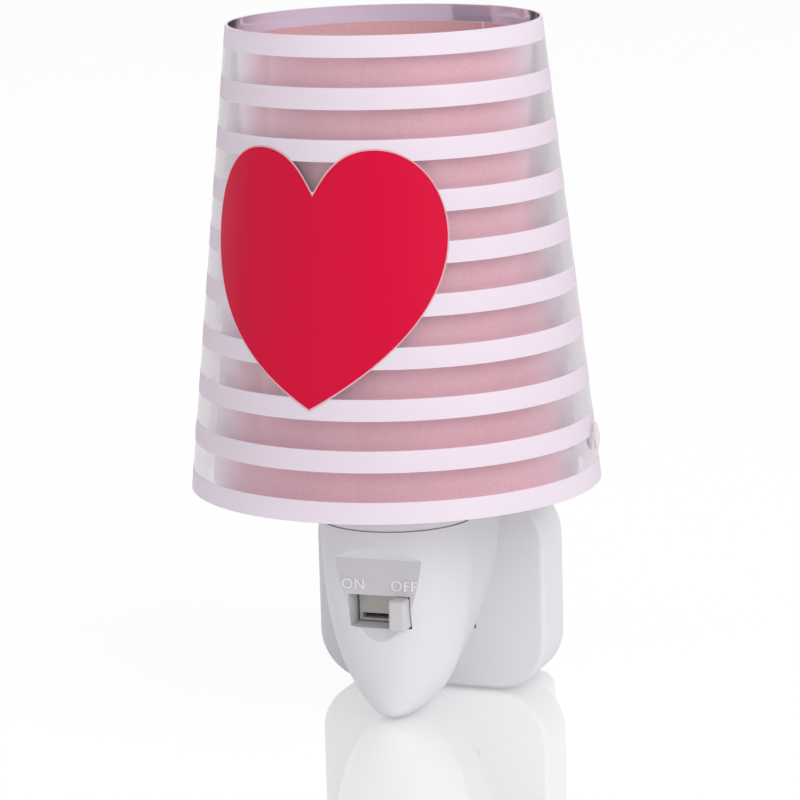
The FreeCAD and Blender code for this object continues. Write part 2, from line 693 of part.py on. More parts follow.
def knob_box(half_width, half_height, front, back):
    """A box centred on the knob in its off position."""
    return box((knob_out + " - (%s)" % half_width, before_axis(front),
                under_rim("WindowDrop + %s" % half_height)),
               (knob_out + " + (%s)" % half_width, before_axis(back),
                under_rim("WindowDrop - %s" % half_height)))


def stem_box(side, grow, front, back):
    """A box along the knob's stem, low behind the window, grown all round by a clearance."""
    return box(("%s - StemWidth / 2 - (%s)" % (side, grow), before_axis(front),
                under_rim("WindowDrop + %s + %s" % (slot_low, grow))),
               (knob_out + " + StemWidth / 2 + " + grow, before_axis(back),
                under_rim("WindowDrop + %s - StemHeight - %s" % (slot_low, grow))))


def switch_body():
    case = switch_box("SwitchWidth / 2", "SwitchHeight / 2", "SwitchShoulder", "SwitchBack")
    face = switch_box("(WindowWidth / 2 - SwitchFaceGap)", "(WindowHeight / 2 - SwitchFaceLip)",
                      "SwitchFace", "SwitchShoulder")
    room = switch_box("(SwitchWidth / 2 - SwitchWall)", "(SwitchHeight / 2 - SwitchWall)",
                      "SwitchShoulder - SwitchWall", "SwitchBack - 1")
    slot = stem_box("-" + knob_out, "FitGap", "SwitchFace + 1", "SwitchBack")
    node("switch_body", cut(joined(case, face), room, slot))


blade_spots = ("(-(%s) + BridgeLength / 2 - BladeWidth / 2 - FitGap)" % knob_out,
               "(-(%s) - BridgeLength / 2 + BladeWidth / 2 + FitGap)" % knob_out)
bridge_back = "(SwitchShoulder - SwitchWall - FitGap - CarriageDepth - BridgeThick)"


def switch_base():
    """Insulating back of the switch, with the two fixed contacts through it."""
    plate = switch_box("SwitchWidth / 2", "SwitchHeight / 2", "SwitchBack", "SwitchBack - SwitchBaseThick")
    slots = []
    blades = []
    for spot in blade_spots:
        blades.append(box(("%s - BladeWidth / 2" % spot, before_axis(bridge_back + " - FitGap"),
                           under_rim("WindowDrop + ContactWidth / 2")),
                          ("%s + BladeWidth / 2" % spot, "BladeEnd - AxisToPlugEnd",
                           under_rim("WindowDrop - ContactWidth / 2"))))
        slots.append(box(("%s - BladeWidth / 2 - FitGap" % spot, before_axis("SwitchBack + 1"),
                          under_rim("WindowDrop + ContactWidth / 2 + FitGap")),
                         ("%s + BladeWidth / 2 + FitGap" % spot, "BladeEnd - AxisToPlugEnd",
                          under_rim("WindowDrop - ContactWidth / 2 - FitGap"))))
    node("switch_base", cut(plate, *slots))
    node("fixed_contacts", group(*blades))


def switch_knob():
    cap = knob_box("KnobWidth / 2", "(WindowHeight / 2 - KnobGap)",
                   "PanelDepth + KnobProud", "SwitchFace + KnobGap")
    front = before_axis("PanelDepth + KnobProud")
    head = rounded(cap, "KnobRound", lambda edge: lies_at(edge, "y", front) or runs_along(edge, "y"))
    stem = stem_box(knob_out, "0", "SwitchFace + 2 * KnobGap",
                    "SwitchShoulder - SwitchWall - CarriageDepth / 2")
    node("switch_knob", joined(head, stem))


def switch_carriage():
    front = "SwitchShoulder - SwitchWall - FitGap"
    block = knob_box("CarriageWidth / 2", "(SwitchHeight / 2 - SwitchWall - FitGap)",
                     front, front + " - CarriageDepth")
    socket = stem_box(knob_out, "(FitGap / 2)", "SwitchFace",
                      "SwitchShoulder - SwitchWall - CarriageDepth / 2 - FitGap")
    node("switch_carriage", cut(block, socket))
    bridge = knob_box("BridgeLength / 2", "ContactWidth / 2", front + " - CarriageDepth", bridge_back)
    node("moving_contact", bridge)


# Block, back cover and plug
def block_slab(inset, front, back):
    """Rounded slab of the block's outline, inset on every side, between two places along Y."""
    body = box(("-(BlockHalfWidth - %s)" % inset, front, "-(BlockFoot - %s)" % inset),
               ("BlockHalfWidth - %s" % inset, back, "BlockTop - %s" % inset))
    return rounded(body, "BlockCorner - %s" % inset, lambda edge: runs_along(edge, "y"))


def cover_screw_spots():
    return [("%d * ScrewOut" % side, "%d * ScrewOut" % level) for side in (-1, 1) for level in (-1, 1)]


def block_housing():
    body = block_slab("0", block_front_y, block_back_y)
    outside = rounded(body, "BlockEdge", lambda edge: lies_at(edge, "y", block_front_y))
    inner_front = block_front_y + " + BlockWall"
    room = block_slab("BlockWall", inner_front, block_back_y + " + 1")
    wire_hole = box(("-WireHoleWidth / 2", block_front_y + " - 1", "-WireHoleHeight / 2"),
                    ("WireHoleWidth / 2", inner_front + " + 1", "WireHoleHeight / 2"))
    posts = []
    drills = []
    for across, level in cover_screw_spots():
        posts.append(rod("PostRadius", "BlockDepth - BlockWall - CoverThick - FitGap",
                         (across, inner_front, level), BACK))
        drills.append(rod("ScrewRadius + FitGap / 2", "BlockDepth", (across, inner_front, level), BACK))
    for across, level, _ in shell_screw_spots():
        drills.append(rod("ScrewRadius + FitGap", "4 * BlockWall",
                          (across, block_front_y + " - BlockWall", level), BACK))
    node("block_housing", cut(joined(cut(outside, room), *posts), wire_hole, *drills))


def back_cover():
    """Plate, step that meets the outlet's face, and the round plug with the pin posts."""
    inset = "(BlockWall + FitGap)"
    plate_front = block_back_y + " - CoverThick"
    plate = block_slab(inset, plate_front, block_back_y)
    block = box(("-StepHalf", block_back_y, "-StepHalf"), ("StepHalf", step_back_y, "StepHalf"))
    step = rounded(block, "StepRound", lambda edge: runs_along(edge, "y"))
    plug = rod("PlugRadius", "PlugDepth", ("0", step_back_y, "0"), BACK)
    nose = rounded(plug, "PinNose", lambda edge: lies_at(edge, "y", step_back_y + " + PlugDepth"))
    wall = "(StepHalf - PlugWall)"
    room = box(("-" + wall, plate_front + " - 1", "-" + wall),
               (wall, step_back_y + " - BlockWall", wall))
    bore = rod("PlugRadius - PlugWall", "PlugDepth - PlugFloor + 2 * BlockWall",
               ("0", step_back_y + " - 2 * BlockWall", "0"), BACK)
    posts = []
    drills = []
    for side in (-1, 1):
        across = "%d * PinSpacing / 2" % side
        posts.append(rod("PinPostRadius", "PinPostDepth",
                         (across, "-PlugFloor - PinPostDepth", "0"), BACK))
        drills.append(rod("PinRadius + FitGap / 2", "2 * PlugDepth", (across, "-PlugDepth", "0"), BACK))
    for across, level in cover_screw_spots():
        posts.append(rod("PostRadius + BlockWall / 4", "%s - (%s)" % (step_back_y, plate_front),
                         (across, plate_front, level), BACK))
        drills.append(rod("ScrewRadius + FitGap", "StepDepth + 2 * CoverThick",
                          (across, plate_front + " - CoverThick", level), BACK))
        drills.append(rod("ScrewHeadRadius + FitGap", "2 * CounterboreDepth",
                          (across, step_back_y + " - CounterboreDepth", level), BACK))
    shell = cut(joined(plate, step, nose), room, bore)
    node("back_cover", cut(joined(shell, *posts), *drills))


def machine_screw(length, spot):
    """Pan head screw that points forwards, seated under its head at spot."""
    outline = [
        ("0", "-ScrewHeadThick"),
        ("ScrewHeadRadius * 0.7", "-ScrewHeadThick"),
        ("ScrewHeadRadius", "-ScrewHeadThick * 0.6"),
        ("ScrewHeadRadius", "0"),
        ("ScrewRadius", "0"),
        ("ScrewRadius", length + " - ScrewRadius"),
        ("ScrewRadius / 3", length),
        ("0", length),
    ]
    return turned(outline, spot, FRONT)


def screws():
    cover = [machine_screw("ScrewLength", (across, step_back_y + " - CounterboreDepth", level))
             for across, level in cover_screw_spots()]
    node("cover_screws", group(*cover))
    shell = [machine_screw("ShellScrewLength", (across, block_front_y + " + BlockWall", level))
             for across, level, _ in shell_screw_spots()]
    node("shell_screws", group(*shell))


def plug_pins():
    waist = "SleeveRadius - SleeveWall"
    for side, name in ((-1, "neutral"), (1, "line")):
        across = "%d * PinSpacing / 2" % side
        outline = [
            ("0", "0"),
            ("PinRadius", "0"),
            ("PinRadius", "PinInside"),
            (waist, "PinInside"),
            (waist, "PinInside + SleeveLength"),
            ("PinRadius", "PinInside + SleeveLength"),
            ("PinRadius", "PinInside + PinLength - PinNose"),
            ("PinRadius - PinNose * 0.8", "PinInside + PinLength"),
            ("0", "PinInside + PinLength"),
        ]
        node(name + "_pin", turned(outline, (across, "-PinInside", "0"), BACK))
        sleeve = [
            (waist + " + FitGap / 4", "FitGap / 2"),
            ("SleeveRadius", "FitGap / 2"),
            ("SleeveRadius", "SleeveLength - FitGap / 2"),
            (waist + " + FitGap / 4", "SleeveLength - FitGap / 2"),
        ]
        node(name + "_pin_sleeve", turned(sleeve, (across, "0", "0"), BACK))
    crimps = []
    for side in (-1, 1):
        outline = [
            ("0", "0"),
            ("CrimpRadius", "0"),
            ("CrimpRadius", "CrimpLength"),
            ("PinRadius + FitGap / 2", "CrimpLength"),
            ("PinRadius + FitGap / 2", "CrimpLength / 2"),
            ("0", "CrimpLength / 2"),
        ]
        spot = ("%d * PinSpacing / 2" % side, "-PinInside - CrimpLength / 2 - FitGap", "0")
        crimps.append(turned(outline, spot, BACK))
    node("pin_terminals", group(*crimps))


# Wires: straight runs joined by tangent arcs
def wire_tube(points):
    spots = [Vector(*[number(text) for text in point]) for point in points]
    bend = 4 * number("WireRadius")
    edges = []
    start = spots[0]
    for before, corner, after in zip(spots, spots[1:], spots[2:]):
        to_last = (before - corner).normalize()
        to_next = (after - corner).normalize()
        half = to_last.getAngle(to_next) / 2
        room = 0.45 * min((before - corner).Length, (after - corner).Length)
        reach = min(bend / math.tan(half), room)
        radius = reach * math.tan(half)
        first = corner + to_last * reach
        last = corner + to_next * reach
        inward = (to_last + to_next).normalize()
        middle = corner + inward * (radius / math.sin(half) - radius)
        edges.append(Part.LineSegment(start, first).toShape())
        edges.append(Part.Arc(first, middle, last).toShape())
        start = last
    edges.append(Part.LineSegment(start, spots[-1]).toShape())
    path = Part.Wire(edges)
    heading = spots[1] - spots[0]
    circle = Part.Wire([Part.Circle(spots[0], heading, number("WireRadius")).toShape()])
    return path.makePipeShell([circle], True, False)


def wires():
    crimp_y = "-PinInside - CrimpLength / 2 - 2 * FitGap"
    blade_y = "BladeEnd + FitGap - AxisToPlugEnd"
    tab_z = under_rim("TabDrop - WireRadius")
    tab_y = "ContactWidth / 2 + FitGap - AxisToPlugEnd"
    switch_z = under_rim("WindowDrop")
    pin_x = "PinSpacing / 2"
    line = [(pin_x, crimp_y, "0"), (pin_x, crimp_y + " - 14", "0"),
            ("3", block_front_y + " - 5", "-4"), (blade_spots[0], blade_y + " + 6", switch_z),
            (blade_spots[0], blade_y, switch_z)]
    node("line_wire", made("LineWire", wire_tube(line)))
    neutral = [("-" + pin_x, crimp_y, "0"), ("-" + pin_x, crimp_y + " - 14", "0"),
               ("-SideTabOut + 4", block_front_y + " - 4", "6"), ("-SideTabOut - ContactThick / 2",
               tab_y + " + 6", tab_z), ("-SideTabOut - ContactThick / 2", tab_y, tab_z)]
    node("neutral_wire", made("NeutralWire", wire_tube(neutral)))
    centre_x = "CentreTabOut + ContactThick / 2"
    switched = [(blade_spots[1], blade_y, switch_z), (blade_spots[1], blade_y + " + 5", switch_z),
                ("-1", blade_y + " + 9", switch_z + " + 7"), (centre_x, tab_y + " + 5", tab_z),
                (centre_x, tab_y, tab_z)]
    node("switched_wire", made("SwitchedWire", wire_tube(switched)))


# Bulb
def bulb():
    tip = on_axis("- BulbTip")
    contact = [("0", "0"), ("1.6", "0"), ("2.4", "0.6"), ("2.4", "1.2"), ("0", "1.2")]
    node("bulb_tip_contact", turned(contact, tip))
    skirt = "(BulbTip - CapFoot)"
    insulator = [("0", "1.2"), ("2.6", "1.2"), ("CapRadius - 1.3", skirt), ("0", skirt)]
    node("bulb_insulator", turned(insulator, tip))
    thread_start = "1.5"
    body_end = "(CapFoot + CapTop)"
    rings = rolled_thread("(CapRadius - ThreadDepth)", thread_start, body_end + " - 4", 1)
    outline = [("0", "0"), ("CapRadius - 1.2", "0")]
    outline += rings
    outline += [("CapRadius - ThreadDepth", body_end), ("CapRadius - ThreadDepth - 0.4", body_end),
                ("CapRadius - ThreadDepth - 0.4", "1"), ("0", "1")]
    node("bulb_screw_cap", turned(outline, on_axis("- CapFoot")))
    join = "(BulbJoin - CapTop)"
    housing = [
        ("CapRadius - HousingWall", "0"),
        ("CapRadius + 0.9", "0"),
        ("CapRadius + 1.5", "1"),
        ("BulbRadius", join),
        ("BulbRadius - 1.5 * HousingWall", join),
        ("CapRadius + 1.5 - HousingWall", "2.4"),
        ("CapRadius - HousingWall", "2.4"),
    ]
    node("bulb_housing", turned(housing, on_axis("CapTop")))
    dome = "(BulbTop - BulbJoin)"
    steps = 6
    envelope = [("BulbRadius - BulbWall", "0"), ("BulbRadius", "0")]
    for step in range(steps + 1):
        angle = math.pi / 2 * step / steps
        envelope.append(("BulbRadius * %.5f" % math.cos(angle),
                         "%s - BulbRadius + BulbRadius * %.5f" % (dome, math.sin(angle))))
    envelope[-1] = ("0", dome)
    for step in range(steps, -1, -1):
        angle = math.pi / 2 * step / steps
        envelope.append(("(BulbRadius - BulbWall) * %.5f" % math.cos(angle),
                         "%s - BulbRadius + (BulbRadius - BulbWall) * %.5f" % (dome, math.sin(angle))))
    envelope[len(envelope) - steps - 1] = ("0", dome + " - BulbWall")
    node("bulb_envelope", turned(envelope, on_axis("BulbJoin + FitGap / 2")))
    board = rod("BoardRadius", "BoardThick", on_axis("BulbJoin + FitGap"))
    node("led_board", board)
    chips = []
    for index in range(int(number("ChipCount"))):
        angle = 2 * math.pi * index / number("ChipCount")
        across = "ChipRing * %.5f" % math.cos(angle)
        along = "ChipRing * %.5f - AxisToPlugEnd" % math.sin(angle)
        foot = "ShadeAbovePins + BulbJoin + FitGap + BoardThick"
        chips.append(box((across + " - ChipSize / 2", along + " - ChipSize / 2", foot),
                         (across + " + ChipSize / 2", along + " + ChipSize / 2", foot + " + ChipThick")))
    node("led_chips", group(*chips))
    node("bulb_driver", rod("CapRadius / 2", "%s + CapTop / 2" % join, on_axis("CapTop / 2")))


shade_sheets()
shade_carrier()
shade_fasteners()
collar_ring()
lampholder_neck()
lampholder_insert()
screw_shell()
contact_strips()
front_shell()
switch_body()
switch_base()
switch_knob()
switch_carriage()
block_housing()
back_cover()
screws()
plug_pins()
wires()
bulb()
doc.recompute()

faults = [item.Name for item in doc.Objects if "Invalid" in item.State or "Error" in item.State]
for item in nodes:
    if item.Shape.isNull() or not item.Shape.isValid() or item.Shape.Volume <= 0:
        faults.append(item.Label)
if faults:
    raise RuntimeError("these objects failed: " + ", ".join(faults))

os.makedirs("parts", exist_ok=True)
for item in nodes:
    item.Shape.exportStep(os.path.join("parts", item.Label + ".step"))
    print("%-20s solids %d volume %.1f" % (item.Label, len(item.Shape.Solids), item.Shape.Volume))
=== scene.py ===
"""Plug-in night light: printed clear shade over a pink one, on a white housing with a slide switch."""
import json
import math
import bmesh
import bpy
from mathutils import Matrix, Vector


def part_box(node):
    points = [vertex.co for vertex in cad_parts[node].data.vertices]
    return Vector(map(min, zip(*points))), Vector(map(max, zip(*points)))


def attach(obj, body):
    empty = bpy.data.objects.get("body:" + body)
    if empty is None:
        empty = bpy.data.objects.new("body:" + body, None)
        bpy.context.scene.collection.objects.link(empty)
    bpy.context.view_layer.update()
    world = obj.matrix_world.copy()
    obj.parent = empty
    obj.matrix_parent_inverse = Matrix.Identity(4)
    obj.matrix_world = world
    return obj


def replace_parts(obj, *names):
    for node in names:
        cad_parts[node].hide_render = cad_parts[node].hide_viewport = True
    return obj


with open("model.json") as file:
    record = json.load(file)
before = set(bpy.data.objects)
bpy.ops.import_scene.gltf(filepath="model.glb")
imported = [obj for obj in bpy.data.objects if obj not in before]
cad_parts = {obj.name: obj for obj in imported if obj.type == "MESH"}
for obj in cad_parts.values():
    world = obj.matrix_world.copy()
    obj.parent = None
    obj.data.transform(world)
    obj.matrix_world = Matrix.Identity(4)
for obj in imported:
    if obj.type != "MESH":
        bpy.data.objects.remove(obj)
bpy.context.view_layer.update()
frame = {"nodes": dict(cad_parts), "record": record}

MM = 0.001
JOINTS = {joint["name"]: joint for joint in frame["record"]["behaviour"]["joints"]}
AXIS = Vector(JOINTS["shade_turn"]["pos_m"])
FLOOR_LEVEL = min(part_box("front_shell")[0].z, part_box("block_housing")[0].z)

# The camera: its place about the shade axis, and how it is turned
CAMERA_AZIMUTH = math.radians(19.7)
CAMERA_AWAY = 829.5 * MM
CAMERA_HIGH = 184.5 * MM
CAMERA_PITCH = 0.1983
CAMERA_YAW = 0.0015
CAMERA_ROLL = -0.0282
FOCAL_SHARE = 3770.2 / 800
SENSOR = 36.0
SEEN_FROM = 0.05
SEEN_TO = 60

# The outer sheet: its two rims, the seam's lap and the printed bands
SHADE_FOOT_RADIUS = 46.0 * MM
SHADE_TOP_RADIUS = 34.9 * MM
SHADE_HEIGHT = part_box("outer_shade")[1].z - AXIS.z
SHEET_WALL = 0.55 * MM
SEAM_TURN = math.radians(74.5)
SEAM_LAP = 11.0 * MM
SEAM_RAMP = 12.0 * MM
LAP_GAP = 0.05 * MM
BAND_COUNT = 10
BAND_SHARE = 4.68 / (4.68 + 6.35)
INNER_FOOT_RADIUS = 41.2 * MM
INNER_TOP_RADIUS = 32.0 * MM
INNER_LOW = 1.5 * MM
INNER_HIGH = 99.8 * MM
FILM_LIFT = 0.01 * MM
FILM_THICK = 0.05 * MM
STEPS_ROUND = 220
STEP_HIGH = 12 * MM

# The heart: where it sits on the shade, and its right half (across, height) in millimetres
HEART_TURN = math.radians(-90 - 5.15)
HEART_TIP = 24.2
HEART_TIP_HANDLE = (13.3, 7.6)
HEART_SIDE = (29.65, 60.0)
HEART_SIDE_HANDLES = (16.0, 10.7)
HEART_LOBE = (13.3, 79.3)
HEART_LOBE_HANDLES = (8.8, 7.2)
HEART_NOTCH = 69.4
HEART_NOTCH_HANDLE = (3.0, 5.2)
HEART_EDGE = 0.36
HEART_EDGE_AT_TIP = 1.25
HEART_EDGE_AT_NOTCH = 1.6
HEART_FINENESS = 24
STRIP_ACROSS = 1.3
STRIP_HIGH = 4.0

# The switch panel, its window's lining and its raised words
PANEL_Y = AXIS.y - 13.93 * MM
LINING_OUT = 8.5 * MM
LINING_DEEP = 1.5 * MM
CLOSE = 0.01 * MM
WORD_RISE = 0.3 * MM
WORD_SIZE = 3.45 * MM
WORD_DROP = 22.6 * MM
WORD_OUT = 6.0 * MM

# Casing edges, and the studio's lamps
EDGE_ROUND = 0.35 * MM
EDGE_TURN = math.radians(45)
SMOOTH_TURN = math.radians(28)
SOFT_EDGED = ("front_shell", "block_housing", "collar_ring")
FLOOR_GAP = 0.05 * MM
FLOOR_SIZE = 8
KEY_SPOT, KEY_SIZE, KEY_POWER = (1.3, -0.9, 1.1), 1.8, 20
FILL_SPOT, FILL_SIZE, FILL_POWER = (-0.7, -1.1, 0.5), 2.0, 3.5
AMBIENT = 0.5


class Socket:
    """One output of a shader node; arithmetic on it adds Math nodes."""

    def __init__(self, nodes, output):
        self.nodes = nodes
        self.output = output

    def worked(self, operation, *values):
        return self.nodes.add("ShaderNodeMath", {"operation": operation}, dict(enumerate(values)))

    def __add__(self, other):
        return self.worked("ADD", self, other)

    def __radd__(self, other):
        return self.worked("ADD", other, self)

    def __sub__(self, other):
        return self.worked("SUBTRACT", self, other)

    def __rsub__(self, other):
        return self.worked("SUBTRACT", other, self)

    def __mul__(self, other):
        return self.worked("MULTIPLY", self, other)

    def __rmul__(self, other):
        return self.worked("MULTIPLY", other, self)

    def __pow__(self, power):
        return self.worked("POWER", self, power)

    def larger(self, other):
        return self.worked("MAXIMUM", self, other)

    def clamped(self):
        return self.worked("MINIMUM", self.larger(0.0), 1.0)


class Nodes:
    """A node tree under construction; every node comes from add."""

    def __init__(self, owner, end):
        owner.use_nodes = True
        self.owner = owner
        self.tree = owner.node_tree
        self.tree.nodes.clear()
        self.end = self.tree.nodes.new(end)

    def add(self, kind, settings=None, values=None, output=0):
        made = self.tree.nodes.new(kind)
        for name, value in (settings or {}).items():
            setattr(made, name, value)
        for name, value in (values or {}).items():
            if isinstance(value, Socket):
                self.tree.links.new(value.output, made.inputs[name])
            else:
                made.inputs[name].default_value = value
        return Socket(self, made.outputs[output])

    def blended(self, share, first, second):
        """Two shaders, the second seen by that share."""
        return self.add("ShaderNodeMixShader", {}, {0: share, 1: first, 2: second})

    def done(self, shader):
        self.tree.links.new(shader.output, self.end.inputs["Surface"])
        return self.owner


class Finish(Nodes):
    """A material under construction."""

    def __init__(self, name):
        super().__init__(bpy.data.materials.new(name), "ShaderNodeOutputMaterial")

    def place(self):
        return self.add("ShaderNodeTexCoord", output="Object")

    def facing(self):
        """From 0, seen straight on, to 1, seen along the surface."""
        return self.add("ShaderNodeLayerWeight", {}, {"Blend": 0.5}, output="Facing")

    def noise(self, scale, detail=2.0, roughness=0.5):
        return self.add("ShaderNodeTexNoise", {},
                        {"Vector": self.place(), "Scale": scale, "Detail": detail,
                         "Roughness": roughness})

    def mixed(self, share, first, second):
        return self.add("ShaderNodeMix", {"data_type": "RGBA"}, {0: share, 6: first, 7: second}, output=2)

    def bump(self, height, strength, distance):
        return self.add("ShaderNodeBump", {},
                        {"Strength": strength, "Distance": distance, "Height": height})

    def surface(self, **values):
        named = {name.replace("_", " ").title(): value for name, value in values.items()}
        if "Specular Ior Level" in named:
            named["Specular IOR Level"] = named.pop("Specular Ior Level")
        return self.add("ShaderNodeBsdfPrincipled", {}, named)


def rgb(red, green, blue):
    """A colour written as eight-bit screen values, as linear light."""
    def linear(value):
        share = value / 255
        return share / 12.92 if share <= 0.04045 else ((share + 0.055) / 1.055) ** 2.4
    return (linear(red), linear(green), linear(blue), 1.0)


def darker(colour, share):
    """The same colour at a share of its light."""
    return tuple(share * part for part in colour[:3]) + (1.0,)


# Finishes
def moulded_plastic(name, colour, rough):
    """Satin moulded plastic: faint clouding, fine spark grain, uneven gloss."""
    finish = Finish(name)
    cloud = finish.noise(60, 3)
    spark = finish.noise(3200, 2)
    return finish.done(finish.surface(
        base_color=finish.mixed(cloud, colour, darker(colour, 0.965)),
        roughness=rough + 0.10 * (cloud - 0.5), coat_weight=0.12, coat_roughness=0.18,
        normal=finish.bump(spark, 0.05, 0.05 * MM)))


def clear_sheet(name, tint, rough, haze):
    """Clear sheet: see-through, with a surface that turns glossy at a low angle."""
    finish = Finish(name)
    waves = finish.noise(35, 2)
    ripple = finish.bump(waves, 0.12, 0.3 * MM)
    gloss = finish.surface(base_color=rgb(244, 236, 244), roughness=rough, metallic=1.0, normal=ripple)
    open_way = finish.add("ShaderNodeBsdfTransparent", {}, {"Color": tint})
    share = 0.85 * (2.94 * finish.facing() ** 3 + haze).clamped()
    return finish.done(finish.blended(share, open_way, gloss))


def printed_film(name, colour, rough, through):
    """Ink on the clear sheet: even colour, a fine screen grain, some light coming through."""
    finish = Finish(name)
    cloud = finish.noise(45, 2)
    speck = finish.noise(5200, 1)
    grain = 0.6 * cloud + 0.4 * speck
    ink = finish.surface(
        base_color=finish.mixed(grain, colour, darker(colour, 0.92)),
        roughness=rough + 0.08 * (cloud - 0.5), specular_ior_level=0.1,
        coat_weight=0.04, coat_roughness=0.15, normal=finish.bump(speck, 0.03, 0.03 * MM))
    glow = finish.add("ShaderNodeBsdfTranslucent", {}, {"Color": darker(colour, 0.96)})
    return finish.done(finish.blended(through, ink, glow))


def satin_sheet(name, colour):
    """Pink satin sheet: fine leathery grain under a soft sheen."""
    finish = Finish(name)
    cells = finish.add("ShaderNodeTexVoronoi", {"feature": "F1"},
                       {"Vector": finish.place(), "Scale": 1700.0})
    speck = finish.noise(2600, 2)
    cloud = finish.noise(28, 2)
    grain = (0.55 * cells + 0.45 * speck).clamped()
    body = finish.surface(
        base_color=finish.mixed(grain, colour, darker(colour, 0.80)),
        roughness=0.5 + 0.1 * (cloud - 0.5), specular_ior_level=0.3,
        coat_weight=0.1, coat_roughness=0.3, normal=finish.bump(grain, 0.22, 0.06 * MM))
    sheen = finish.surface(base_color=rgb(220, 205, 209), roughness=0.3, metallic=1.0)
    edge = 0.8 * (6.0 * (finish.facing() - 0.5)).clamped()
    return finish.done(finish.blended(edge, body, sheen))


def stamped_metal(name, colour, rough):
    """Bare or plated metal with fine scratches."""
    finish = Finish(name)
    streaks = finish.noise(900, 4, 0.7)
    cloud = finish.noise(120, 2)
    return finish.done(finish.surface(
        base_color=finish.mixed(cloud, colour, darker(colour, 0.85)),
        metallic=1.0, roughness=rough + 0.12 * (cloud - 0.5),
        normal=finish.bump(streaks, 0.06, 0.03 * MM)))


def soft_opal(name, colour):
    """Opal diffuser of the bulb."""
    finish = Finish(name)
    cloud = finish.noise(50, 2)
    return finish.done(finish.surface(
        base_color=finish.mixed(cloud, colour, darker(colour, 0.97)),
        roughness=0.3 + 0.05 * (cloud - 0.5), coat_weight=0.4, coat_roughness=0.1))


WHITE = moulded_plastic("white_plastic", rgb(224, 225, 229), 0.40)
PAPER_WHITE = printed_film("white_band_print", rgb(251, 244, 252), 0.42, 0.38)
HEART_RED = printed_film("heart_print", rgb(219, 7, 60), 0.40, 0.1)
PALE_PINK = printed_film("heart_edge_print", rgb(242, 205, 212), 0.42, 0.3)
CLEAR = clear_sheet("clear_sheet", rgb(253, 252, 254), 0.06, 0.035)
CLEAR_MOULDED = clear_sheet("clear_moulded", rgb(250, 250, 250), 0.10, 0.10)
PINK = satin_sheet("pink_sheet", rgb(240, 190, 196))
# Painted shade: the switch panel gets a darker grey than the white casing, standing in for the shadow
# that falls on it.
PANEL_PAINTED_SHADE = moulded_plastic("panel_plastic", rgb(208, 207, 212), 0.55)
LETTERS = moulded_plastic("letter_plastic", rgb(240, 240, 243), 0.35)
FINISHES = {
    "white_plastic": WHITE,
    "switch_plastic": moulded_plastic("switch_plastic", rgb(196, 193, 188), 0.5),
    "knob_plastic": moulded_plastic("knob_plastic", rgb(206, 204, 208), 0.38),
    "printed_clear_sheet": CLEAR,
    "pink_sheet": PINK,
    "clear_plastic": CLEAR_MOULDED,
    "insulating_plastic": moulded_plastic("insulating_plastic", rgb(226, 222, 210), 0.55),
    "brass": stamped_metal("brass", rgb(214, 176, 98), 0.32),
    "nickel_brass": stamped_metal("nickel_brass", rgb(206, 204, 198), 0.24),
    "steel": stamped_metal("steel", rgb(176, 178, 182), 0.34),
    "black_plastic": moulded_plastic("black_plastic", rgb(34, 34, 36), 0.42),
    "brown_wire": moulded_plastic("brown_wire", rgb(92, 56, 34), 0.45),
    "blue_wire": moulded_plastic("blue_wire", rgb(52, 92, 160), 0.45),
    "opal_plastic": soft_opal("opal_plastic", rgb(243, 242, 238)),
    "circuit_board": moulded_plastic("circuit_board", rgb(232, 233, 230), 0.5),
    "light_chip": moulded_plastic("light_chip", rgb(226, 204, 104), 0.45),
}
for subpart in frame["record"]["subparts"]:
    dressed = frame["nodes"][subpart["node"]]
    dressed.data.materials.clear()
    dressed.data.materials.append(FINISHES[subpart["material_slot"]])


# Mesh helpers
def piece(name, bm, material, body, smooth=True):
    """Turn a bmesh into a finished object that rides on a body."""
    mesh = bpy.data.meshes.new(name)
    for face in bm.faces:
        face.smooth = smooth
    for edge in bm.edges:
        edge.smooth = edge.smooth and not edge.is_boundary
    bm.to_mesh(mesh)
    bm.free()
    mesh.materials.append(material)
    made = bpy.data.objects.new(name, mesh)
    bpy.context.scene.collection.objects.link(made)
    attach(made, body)
    return made


def thicken(made, thickness, offset):
    """Give a sheet its wall; offset -1 grows it inwards and +1 outwards."""
    wall = made.modifiers.new("wall", "SOLIDIFY")
    wall.thickness = thickness
    wall.offset = offset
    wall.use_even_offset = True
    return made


def outer_radius(height):
    return SHADE_FOOT_RADIUS - (SHADE_FOOT_RADIUS - SHADE_TOP_RADIUS) * height / SHADE_HEIGHT


def inner_radius(height):
    fall = (INNER_FOOT_RADIUS - INNER_TOP_RADIUS) / (INNER_HIGH - INNER_LOW)
    return INNER_FOOT_RADIUS - fall * (height - INNER_LOW)


def on_shade(radius, turn, height):
    """A place on a cone about the shade axis."""
    return Vector((AXIS.x + radius * math.cos(turn), AXIS.y + radius * math.sin(turn), AXIS.z + height))


def smooth_rise(share):
    share = min(1.0, max(0.0, share))
    return share * share * (3 - 2 * share)


def wrapped_sheet(radius_at, low, high, lift, lapped=True):
    """A strip wrapped once round the shade; a lapped one ends over its own start."""
    rows = max(1, round((high - low) / STEP_HIGH))
    bm = bmesh.new()
    bmesh.ops.create_grid(bm, x_segments=STEPS_ROUND, y_segments=rows, size=0.5)
    for vert in bm.verts:
        height = low + (vert.co.y + 0.5) * (high - low)
        radius = radius_at(height)
        half_lap = SEAM_LAP / 2 / radius
        turned = (vert.co.x + 0.5) * (2 * math.pi + 2 * half_lap)
        if not lapped:
            turned = 2 * half_lap + (vert.co.x + 0.5) * 2 * math.pi
        over = smooth_rise((turned - 2 * math.pi) * radius / SEAM_RAMP + 1)
        vert.co = on_shade(radius + lift + over * (SHEET_WALL + LAP_GAP),
                           SEAM_TURN - half_lap + turned, height)
    bmesh.ops.recalc_face_normals(bm, faces=bm.faces)
    return outwards(bm)


